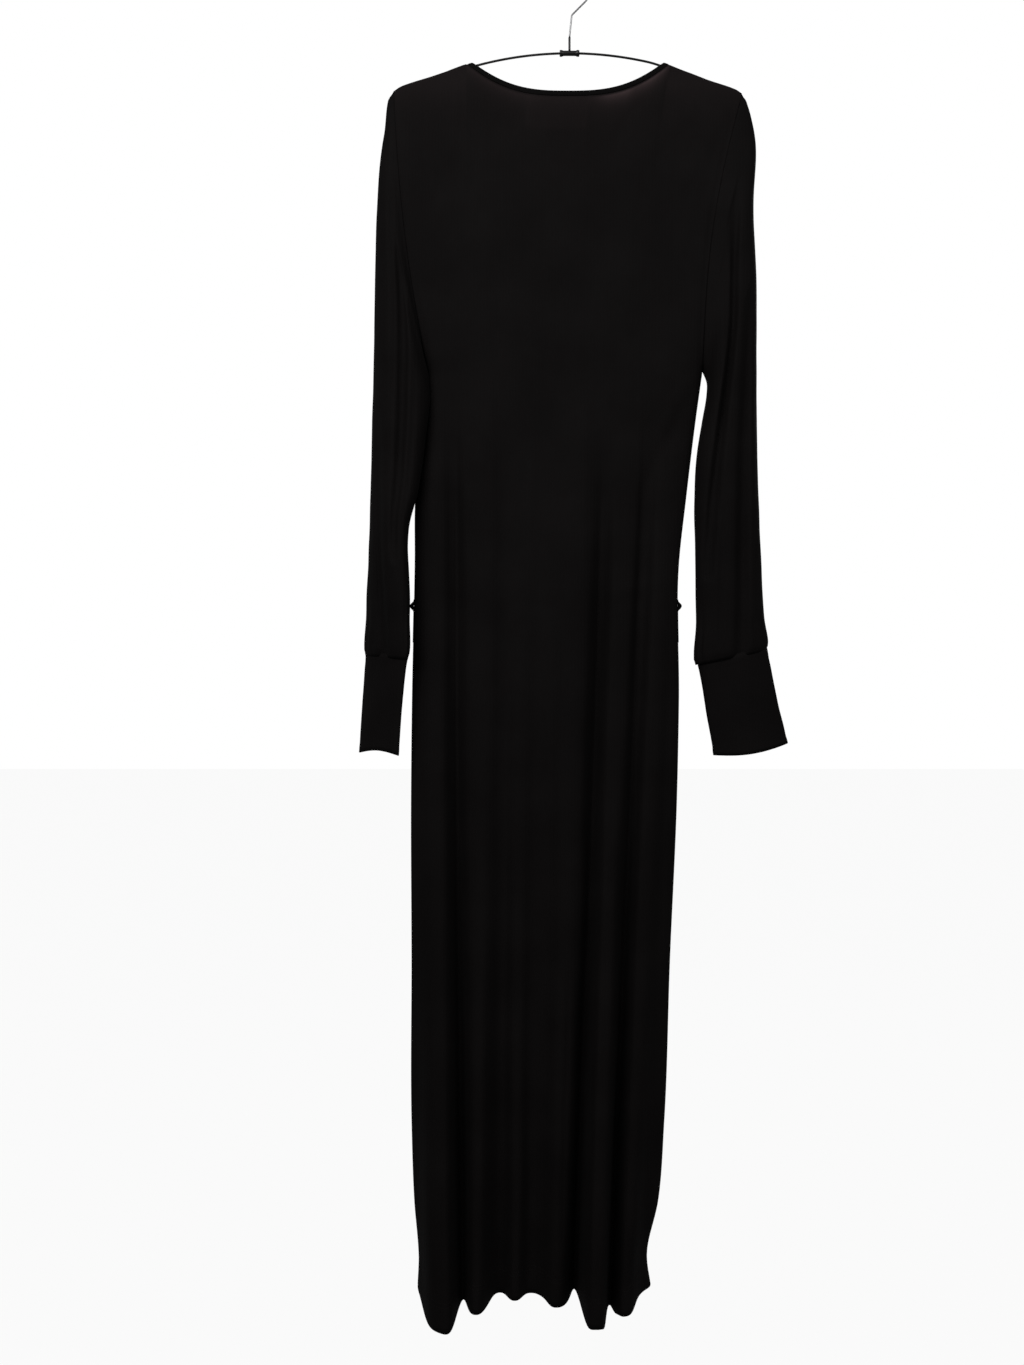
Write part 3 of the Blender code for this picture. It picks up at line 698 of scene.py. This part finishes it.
def cloth_piece(name, quads, place, reverse, wall, look, closed=False):
    """A cloth shell: a grid laid by a function, with its thickness on its inner side."""
    across, down = quads
    bm = bmesh.new()
    bmesh.ops.create_grid(bm, x_segments=across, y_segments=down, size=1.0)
    for vert in bm.verts:
        vert.co = place(round((vert.co.x + 1) / 2 * across), round((vert.co.y + 1) / 2 * down))
    if closed:
        bmesh.ops.remove_doubles(bm, verts=bm.verts[:], dist=1e-6)
    if reverse:
        bmesh.ops.reverse_faces(bm, faces=bm.faces[:])
    obj = add_mesh(name, bm, look)
    shell = obj.modifiers.new("thickness", "SOLIDIFY")
    shell.thickness = wall
    shell.offset = -1
    shell.use_even_offset = False
    return obj


def hand_over(obj, slot, *nodes):
    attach(obj, "root")
    if nodes:
        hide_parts(*nodes)
    return obj


def make_panel(name, side, node, look):
    across, down = PANEL_QUADS[name]

    def place(column, row):
        return panel_point(side, across_of(2 * column / across - 1), row / down)

    obj = cloth_piece(name + "_jersey", (across, down), place, side < 0, CLOTH, look)
    if side < 0:
        # Painted light: how much lighter the back's colour is painted at each point, as if light came through
        light = obj.data.attributes.new("show_through", "FLOAT", "POINT")
        for vert, value in zip(obj.data.vertices, light.data):
            row, column = divmod(vert.index, across + 1)
            q = min(row / down / ARMHOLE_SHARE, 1.0) ** ROW_POWER
            value.value = show_through(across_of(2 * column / across - 1), q, vert.co.z)
    return hand_over(obj, "jersey", node)


def show_through(across, q, z):
    """How much painted light the back gets: a streak under the binding, and a faint glow on yoke and label."""
    at_neck = abs(across) < NECK_HALF
    below = neck_z(-1, across) - z if at_neck else LIGHT_PEAK + SHOULDER_Z - z
    places, amounts = zip(*NECK_LIGHT)
    streak = float(np.interp(across, places, amounts)) if at_neck else 0.0
    streak *= rise(below, LIGHT_START, LIGHT_PEAK) * math.exp(-max(below - LIGHT_PEAK, 0.0) / LIGHT_FADE)
    yoke = YOKE_LIGHT * math.exp(-max(below, 0.0) / YOKE_FADE)
    return streak + yoke + LABEL_LIGHT * label_relief(across, q) / LABEL_LIFT


def make_sleeve(side, look):
    way = -1 if side == "left" else 1
    around, down = SLEEVE_QUADS
    head = HEAD_OF_SLEEVE[side]

    def place(column, row):
        back, share = column_round(column, around)
        t = row / down
        even = (1 - math.cos(math.pi * share)) / 2
        crowded = share**ROW_POWER
        q = crowded + (even - crowded) * rise(t, 0.0, SLEEVE_SPREAD)
        spot = sleeve_point("sleeve", side, q, back, t)
        spot.x += ARMHOLE[side]["bow"] * math.sin(math.pi * q) * (1 - rise(t, 0.0, BOW_FADE))
        spot.x += way * head["round"] * rise(t, *head["grow"]) * (1 - rise(t, *head["fade"])) * (1 - q) ** 2
        spot.z += shoulder_line(way) * (1 - q) ** SHOULDER_EASE * (1 - rise(t, 0.0, HEAD_DROP))
        if side == "left":
            spot.x += SLEEVE_LEAN * q * q * rise(t, *LEAN_START) * (1 - rise(t, *LEAN_END))
        soft = SLEEVE_UNEVEN * uneven(spot.x, spot.y * 2, spot.z, SLEEVE_HUMP, 3 + way) * rise(t, 0.02, 0.15)
        angle = 2 * math.pi * (column % around) / around
        wave = math.sin(GATHER_WAVES[side] * angle + 1.7 * math.sin(2 * angle))
        gather = GATHER_HEIGHT * rise(t, *GATHER_RUN) * wave * (0.6 + 0.4 * math.sin(3 * angle + way))
        puff = PUFF * rise(t, *PUFF_START) * (1 - rise(t, *PUFF_END))
        return spot + away("sleeve", side, spot, t) * ((soft + gather) * (1 - rise(t, SEAM_START, 1.0)) + puff)

    obj = cloth_piece("sleeve_jersey_" + side, SLEEVE_QUADS, place, side == "left", CLOTH, look, True)
    return hand_over(obj, "jersey", f"sleeve_{side}_back", f"sleeve_{side}_front")


def make_cuff(side, look):
    around, down = CUFF_QUADS

    def place(column, row):
        back, share = column_round(column, around)
        q = (1 - math.cos(math.pi * share)) / 2
        along = row / down * (1 + CUFF_TUCK) - CUFF_TUCK
        t, tucked = max(along, 0.0), max(-along, 0.0) / CUFF_TUCK
        spot = sleeve_point("cuff", side, q, back, t)
        soft = CUFF_UNEVEN * uneven(spot.x, spot.y, spot.z, CUFF_HUMP, 9) * rise(t, 0.0, 0.2)
        hems = CUFF_HEM * (rise(t, *CUFF_LOW_HEM) + 1 - rise(t, *CUFF_TOP_HEM))
        up = CUFF_TUCK_RISE * tucked - CUFF_SAG[side] * math.sin(math.pi * q) * rise(t, 0.5, 1.0)
        return spot + away("cuff", side, spot, t) * (soft + hems - CUFF_TUCK_IN * tucked) + Vector((0, 0, up))

    obj = cloth_piece("cuff_jersey_" + side, CUFF_QUADS, place, side == "left", CUFF_CLOTH, look, True)
    return hand_over(obj, "jersey", "cuff_" + side)


def binding_point(turn, row):
    """A point of the neck binding: row 0 is its seam edge, row 1 its free edge, and its face is round."""
    side = -1 if math.sin(turn) >= 0 else 1
    s = -NECK_HALF * math.cos(turn)
    x, out, z = panel_base(side, s * 0.999, 0.0, 0.0)
    y = 0.0 if abs(abs(s) - NECK_HALF) < 1e-9 else side * out
    tilt = BINDING_TILT * (abs(s) / NECK_HALF) ** 2
    reach = BINDING_WIDTH * row
    puff = BINDING_PUFF * math.sin(math.pi * row) ** 0.5 if 0 < row < 1 else 0.0
    sideways = min(1.0, abs(y) / BINDING_TURN)
    spot = Vector((x - math.copysign(math.sin(tilt), s) * reach, y, z + math.cos(tilt) * reach))
    return spot + Vector((0, side * puff * sideways, puff * (1 - sideways)))


def make_binding(look):
    steps, rows = BINDING_QUADS

    def place(column, row):
        return binding_point(2 * math.pi * (column % steps) / steps, row / rows)

    obj = cloth_piece("neck_binding_jersey", BINDING_QUADS, place, False, BINDING_CLOTH, look, True)
    return hand_over(obj, "binding", "neck_binding")


def make_loop(side, look):
    way = -1 if side == "left" else 1
    columns, rows = LOOP_QUADS

    def place(column, row):
        t = row / rows
        z = LOOP_TOP_Z - t * LOOP_LENGTH
        knot = math.sin(math.pi * min(t / LOOP_KNOT, 1.0)) ** 2
        aside = LOOP_WIDTH * (column / columns - 0.5)
        out = LOOP_SEAT + LOOP_WALL + LOOP_BULGE * knot + aside * math.sin(LOOP_TWIST * knot)
        crown = LOOP_CROWN * (1 - (2 * column / columns - 1) ** 2)
        return body_row(z)[side] + way * (out + crown), aside * math.cos(LOOP_TWIST * knot), z

    obj = cloth_piece("belt_loop_jersey_" + side, LOOP_QUADS, place, side == "right", LOOP_WALL, look)
    return hand_over(obj, "binding", "belt_loop_" + side)


def make_label(look):
    columns, rows = LABEL_QUADS
    (left, right), (top, low) = LABEL_ACROSS, LABEL_DOWN

    def place(column, row):
        s = left + (right - left) * column / columns
        x, out, z = panel_base(-1, s, top + (low - top) * row / rows, 0.0)
        curl = LABEL_CURL * rise(row / rows, 0.2, 1.0) * (0.5 + 0.5 * math.sin(LABEL_WAVE * s))
        return x, -out + CLOTH + LABEL_GAP + curl, z

    obj = cloth_piece("neck_label_satin", LABEL_QUADS, place, True, LABEL_CLOTH, look)
    return hand_over(obj, "label", "neck_label")


def tube(name, points, radius, look, sides=20):
    """A round wire along points in the plane Y = 0: a circle extruded from point to point, with closed ends."""
    bm = bmesh.new()
    ring = bmesh.ops.create_circle(bm, cap_ends=False, segments=sides, radius=radius)["verts"]
    shape = [vert.co.copy() for vert in ring]
    points = [Vector(point) for point in points]
    for number, point in enumerate(points):
        ahead = points[min(number + 1, len(points) - 1)] - points[max(number - 1, 0)]
        turn = ahead.normalized().to_track_quat("Z", "Y").to_matrix()
        if number:
            edges = [bm.edges.get((ring[k - 1], ring[k])) for k in range(sides)]
            made = bmesh.ops.extrude_edge_only(bm, edges=edges)["geom"]
            # The new ring's vertices, in the order of the old ring's that they were drawn out of
            drawn_from = {}
            for vert in (item for item in made if isinstance(item, bmesh.types.BMVert)):
                for edge in vert.link_edges:
                    if edge.other_vert(vert) in ring:
                        drawn_from[ring.index(edge.other_vert(vert))] = vert
            ring = [drawn_from[k] for k in range(sides)]
        for vert, spot in zip(ring, shape):
            vert.co = point + turn @ spot
    open_edges = [edge for edge in bm.edges if edge.is_boundary]
    bmesh.ops.holes_fill(bm, edges=open_edges, sides=sides)
    bmesh.ops.recalc_face_normals(bm, faces=bm.faces[:])
    return add_mesh(name, bm, look)


def make_hanger(black, steel):
    """The black bow, its ferrule and the foot of the hook on it, and the grey hook."""
    spread = np.linspace(-BOW_HALF, BOW_HALF, 97) + BOW_CENTRE_X
    bar = tube("hanger_bow", [(x, 0.0, bow_z(x)) for x in spread], WIRE_RADIUS, black)
    hand_over(bar, "coated_wire", "hanger_bar")
    make_ferrule(black)

    foot_low = BOW_TOP_Z + COLLAR_RADIUS * FERRULE_WAIST
    heights = np.linspace(foot_low, FOOT_TOP_Z, 12)
    foot = tube("hanger_hook_foot", [(BOW_CENTRE_X, 0.0, z) for z in heights], WIRE_RADIUS, black)
    hand_over(foot, "coated_wire", "hanger_hook_root")

    # The hook's stem leans from the foot to the kink, and a short round bend joins it to the line into its ring
    centre_z = HOOK_WIRE_RADIUS - HOOK_RADIUS
    kink_z = centre_z - math.sqrt(2) * HOOK_RADIUS
    bend_z = kink_z - HOOK_KINK_RADIUS * math.tan(-HOOK_START / 2)
    points = [(BOW_CENTRE_X, 0.0, FOOT_TOP_Z - MM)]
    for share in np.linspace(0, 1, 9)[1:]:
        points.append((BOW_CENTRE_X * (1 - share), 0.0, FOOT_TOP_Z + (bend_z - FOOT_TOP_Z) * share))
    for angle in np.linspace(0, -HOOK_START, 9)[1:]:
        aside, up = HOOK_KINK_RADIUS * (1 - math.cos(angle)), HOOK_KINK_RADIUS * math.sin(angle)
        points.append((aside, 0.0, bend_z + up))
    for angle in np.linspace(HOOK_START, HOOK_END, 64):
        points.append((HOOK_RADIUS * math.cos(angle), 0.0, centre_z + HOOK_RADIUS * math.sin(angle)))
    hook = tube("hanger_hook_wire", points, HOOK_WIRE_RADIUS, steel)
    hand_over(hook, "steel_wire", "hanger_hook")


def make_ferrule(look):
    """A barrel round the bow's middle, waisted between its ends and rolled in at both of them."""
    bm = bmesh.new()
    size = {"radius1": COLLAR_RADIUS, "radius2": COLLAR_RADIUS, "depth": COLLAR_LENGTH}
    bmesh.ops.create_cone(bm, cap_ends=False, segments=40, **size)
    lengthwise = [edge for edge in bm.edges if abs(edge.verts[0].co.z - edge.verts[1].co.z) > MM]
    bmesh.ops.subdivide_edges(bm, edges=lengthwise, cuts=22)
    for vert in bm.verts:
        along = abs(vert.co.z) / (COLLAR_LENGTH / 2)
        shape = FERRULE_WAIST + (1 - FERRULE_WAIST) * rise(along, *FERRULE_SWELL)
        shape -= FERRULE_ROLL * rise(along, *FERRULE_LIP)
        x = BOW_CENTRE_X + vert.co.z
        vert.co = (x, vert.co.y * shape, bow_z(x) - vert.co.x * shape)
    ferrule = add_mesh("hanger_ferrule", bm, look)
    shell = ferrule.modifiers.new("wall", "SOLIDIFY")
    shell.thickness = FERRULE_WALL
    shell.offset = -1
    hand_over(ferrule, "coated_wire", "hanger_collar")


def make_stitches(name, line, look):
    """A run of stitches: a small capsule for each, along points on the cloth with their outward directions."""
    bm = bmesh.new()
    for at, ahead, out in line:
        stitch = bmesh.ops.create_icosphere(bm, subdivisions=1, radius=THREAD)["verts"]
        across = out.cross(ahead).normalized()
        for vert in stitch:
            along = vert.co.x * STITCH_LENGTH / (2 * THREAD)
            vert.co = at + ahead * along + across * vert.co.y + out * vert.co.z
    return hand_over(add_mesh(name, bm, look), "binding")


def stitch_line(point_at, length):
    """Places every pitch along point_at(share), which gives a point and its outward direction."""
    count = int(length / STITCH_PITCH)
    line = []
    for number in range(count):
        share = (number + 0.5) / count
        at, out = point_at(share)
        ahead = (point_at(min(share + 0.3 / count, 1.0))[0] - at).normalized()
        line.append((at, ahead, out))
    return line


def make_seams(look):
    """Lays the stitches round the neck and the hems, and returns them by the piece they are sewn to."""

    def around_neck(share):
        turn = 2 * math.pi * share
        side = -1 if math.sin(turn) >= 0 else 1
        out = Vector((0, side, 0))
        return binding_point(turn, NECK_SEAM_ROW) + out * 0.15 * MM, out

    stitches = {"neck": [make_stitches("neck_stitches", stitch_line(around_neck, NECK_SEAM), look)]}
    for name, side in (("back", -1), ("front", 1)):
        stitches[name] = []
        for row, hem_row in HEM_SEAM_ROWS:

            def along_hem(share, side=side, hem_row=hem_row):
                s = across_of(2 * (HEM_SEAM_END + (1 - 2 * HEM_SEAM_END) * share) - 1)
                at = Vector(panel_point(side, s, hem_row))
                aside = Vector(panel_point(side, min(s + 0.004, 0.999), hem_row)) - at
                out = aside.cross(Vector((0, 0, 1))).normalized() * (1 if side < 0 else -1)
                return at + out * 0.05 * MM, out

            line = stitch_line(along_hem, HEM_SEAM)
            stitches[name].append(make_stitches(f"{name}_hem_stitches_{row}", line, look))
    return stitches


def new_material(name, **settings):
    """A material with settings on its shader's own sockets, and the object's coordinates for its patterns."""
    material = bpy.data.materials.new(name)
    material.use_nodes = True
    shader = material.node_tree.nodes["Principled BSDF"]
    for socket, value in settings.items():
        shader.inputs[socket.replace("_", " ")].default_value = value
    where = add_node(material, "ShaderNodeTexCoord").outputs["Object"]
    return material, shader, where


def band_scale(pitch):
    """A wave texture's scale for bands a pitch apart in millimetres."""
    return math.pi / (10 * pitch * MM)


def jersey_material(name, base, bright, pitch, depth):
    """Viscose jersey: a limp, matt single knit, dull black with a faint warm cast and a soft bloom at edges."""
    material, shader, where = new_material(
        name, Roughness=0.78, Specular_IOR_Level=0.06, Sheen_Weight=0.006, Sheen_Roughness=0.45
    )
    # Patches where the dye took a little better, some 70 mm across
    patches = add_node(material, "ShaderNodeTexNoise", [("Vector", where)], Scale=14.0, Detail=4.0)
    tone = add_node(
        material, "ShaderNodeValToRGB", [("Fac", patches.outputs["Fac"])], stops=((0.35, base), (0.70, bright))
    )
    # Painted light through thin cloth: the base colour is painted a lighter, pinkish tone where the mesh says so
    through = add_node(material, "ShaderNodeAttribute", attribute_name="show_through")
    links = [(0, through.outputs["Fac"]), (6, tone.outputs["Color"])]
    tone_with_painted_light = add_node(material, "ShaderNodeMix", links, data_type="RGBA")
    tone_with_painted_light.inputs[7].default_value = linear(PAINTED_SHOW_THROUGH)
    material.node_tree.links.new(tone_with_painted_light.outputs[2], shader.inputs["Base Color"])
    # Wales run down the cloth. They are 0.9 mm apart in the real knit, and drawn coarser here so that they show
    wales = {"wave_type": "BANDS", "bands_direction": "X", "Scale": band_scale(pitch)}
    ribs = add_node(material, "ShaderNodeTexWave", [("Vector", where)], Distortion=1.5, Detail=2.0, **wales)
    # Loose fibre ends, about 1 mm apart
    fuzz = add_node(material, "ShaderNodeTexNoise", [("Vector", where)], Scale=900.0, Detail=2.0)
    links = [(0, ribs.outputs["Fac"]), (1, fuzz.outputs["Fac"])]
    both = add_node(material, "ShaderNodeMath", links, operation="ADD")
    relief = add_node(material, "ShaderNodeBump", [("Height", both.outputs[0])], Distance=depth, Strength=0.35)
    material.node_tree.links.new(relief.outputs["Normal"], shader.inputs["Normal"])
    return material


def wire_material(name, colour, scuff, metallic, roughness):
    """Hanger wire, dipped in black plastic or drawn from steel: smooth, with faint, slightly rougher scuffs."""
    material, shader, where = new_material(name, Metallic=metallic)
    # Scuffs of about 4 mm, from other hangers and the rail
    scuffs = add_node(material, "ShaderNodeTexNoise", [("Vector", where)], Scale=260.0, Detail=5.0).outputs["Fac"]
    tone = add_node(material, "ShaderNodeValToRGB", [("Fac", scuffs)], stops=((0.3, colour), (0.8, scuff)))
    material.node_tree.links.new(tone.outputs["Color"], shader.inputs["Base Color"])
    span = {"To_Min": roughness - 0.06, "To_Max": roughness + 0.12}
    rough = add_node(material, "ShaderNodeMapRange", [("Value", scuffs)], **span)
    material.node_tree.links.new(rough.outputs["Result"], shader.inputs["Roughness"])
    relief = add_node(material, "ShaderNodeBump", [("Height", scuffs)], Distance=0.05 * MM, Strength=0.3)
    material.node_tree.links.new(relief.outputs["Normal"], shader.inputs["Normal"])
    return material


def label_material():
    """Woven satin, left bare: close threads that catch the light, drawn coarser than the real 0.2 mm."""
    material, shader, where = new_material("woven_satin_label", Roughness=0.45)
    weave = {"wave_type": "BANDS", "bands_direction": "Z", "Scale": band_scale(1.6)}
    threads = add_node(material, "ShaderNodeTexWave", [("Vector", where)], **weave).outputs["Fac"]
    tone = add_node(material, "ShaderNodeValToRGB", [("Fac", threads)], stops=((0.0, "#1b1918"), (1.0, "#2a2726")))
    material.node_tree.links.new(tone.outputs["Color"], shader.inputs["Base Color"])
    relief = add_node(material, "ShaderNodeBump", [("Height", threads)], Distance=0.1 * MM, Strength=0.4)
    material.node_tree.links.new(relief.outputs["Normal"], shader.inputs["Normal"])
    return material


def make_studio():
    """A pale floor in plain white air, soft light from above the shoulders, and the photo's camera."""
    scene = bpy.context.scene
    scene.view_settings.view_transform = "Standard"
    # Studio paper: matt and even. It throws less light on the cloth than white paper would
    paper = bpy.data.materials.new("white_studio_paper")
    paper.use_nodes = True
    shader = paper.node_tree.nodes["Principled BSDF"]
    shader.inputs["Base Color"].default_value = linear("#8c8c8c")
    shader.inputs["Roughness"].default_value = 0.95
    seen_white(paper, shader.outputs["BSDF"], "Material Output", PAPER_SHADE)
    bm = bmesh.new()
    bmesh.ops.create_grid(bm, x_segments=1, y_segments=1, size=FLOOR_HALF)
    bmesh.ops.translate(bm, verts=bm.verts[:], vec=(0, 0, FLOOR_Z))
    add_mesh("studio_floor", bm, paper)

    world = bpy.data.worlds.new("studio")
    scene.world = world
    world.use_nodes = True
    light = world.node_tree.nodes["Background"]
    light.inputs["Color"].default_value = (1, 1, 1, 1)
    light.inputs["Strength"].default_value = WORLD_LIGHT
    seen_white(world, light.outputs["Background"], "World Output", 0.0)
    for row in named(LIGHT_COLUMNS, STUDIO_LIGHTS):
        lamp = bpy.data.lights.new(row["name"], "AREA")
        lamp.energy = row["power"]
        lamp.size = row["size"]
        holder = bpy.data.objects.new(row["name"], lamp)
        holder.location = row["place"]
        holder.rotation_mode = "QUATERNION"
        holder.rotation_quaternion = (Vector(row["aim"]) - Vector(row["place"])).to_track_quat("-Z", "Y")
        scene.collection.objects.link(holder)

    camera = bpy.data.cameras.new("camera")
    camera.sensor_width = SENSOR
    camera.lens = CAMERA_DISTANCE / (PHOTO_SCALE * PHOTO_HEIGHT) * SENSOR
    eye = bpy.data.objects.new("camera", camera)
    eye.location = (
        (PHOTO_WIDTH / 2 - SEAT_PIXEL[0]) * PHOTO_SCALE,
        -CAMERA_DISTANCE,
        (SEAT_PIXEL[1] - PHOTO_HEIGHT / 2) * PHOTO_SCALE,
    )
    eye.rotation_euler = (math.radians(90), 0, 0)
    scene.collection.objects.link(eye)
    scene.camera = eye


def seen_white(owner, surface, output, shade):
    """Makes paper or air seen white, as behind the photo's dress, whatever light it throws on the cloth."""
    path = add_node(owner, "ShaderNodeLightPath")
    white = add_node(owner, "ShaderNodeBackground" if output == "World Output" else "ShaderNodeEmission")
    amount = add_node(owner, "ShaderNodeMath", [(0, path.outputs["Is Camera Ray"])], operation="MULTIPLY")
    amount.inputs[1].default_value = 1 - shade
    white.inputs["Color"].default_value = (1, 1, 1, 1)
    links = [("Fac", amount.outputs[0]), (1, surface), (2, white.outputs[0])]
    mixed = add_node(owner, "ShaderNodeMixShader", links)
    owner.node_tree.links.new(mixed.outputs[0], owner.node_tree.nodes[output].inputs["Surface"])


def main():
    jersey = jersey_material("viscose_jersey_black", "#110f0f", "#151313", pitch=3.6, depth=0.25 * MM)
    rib = jersey_material("viscose_jersey_binding_black", "#0a0909", "#0e0d0d", pitch=2.8, depth=0.2 * MM)
    # Spun polyester thread: as matt as the jersey and a shade lighter
    thread = jersey_material("polyester_thread_black", "#1a1817", "#211f1e", pitch=1.2, depth=0.05 * MM)
    # The bow is dipped in plastic that dries to a satin skin, and the hook is bare steel, bright from the die
    black = wire_material("plastic_coated_wire_black", "#0d0d0d", "#171717", metallic=0.0, roughness=0.34)
    steel = wire_material("drawn_steel_wire_grey", "#8b8b8c", "#b4b4b6", metallic=1.0, roughness=0.26)
    satin = label_material()
    back = make_panel("back", -1, "back_panel", jersey)
    front = make_panel("front", 1, "front_panel", jersey)
    sleeves = {side: make_sleeve(side, jersey) for side in ("left", "right")}
    cuffs = {side: make_cuff(side, jersey) for side in ("left", "right")}
    loops = {side: make_loop(side, rib) for side in ("left", "right")}
    binding = make_binding(rib)
    label = make_label(satin)
    make_hanger(black, steel)
    stitches = make_seams(thread)
    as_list(stitches["back"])
    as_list(stitches["front"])
    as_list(stitches["neck"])
    make_studio()


main()
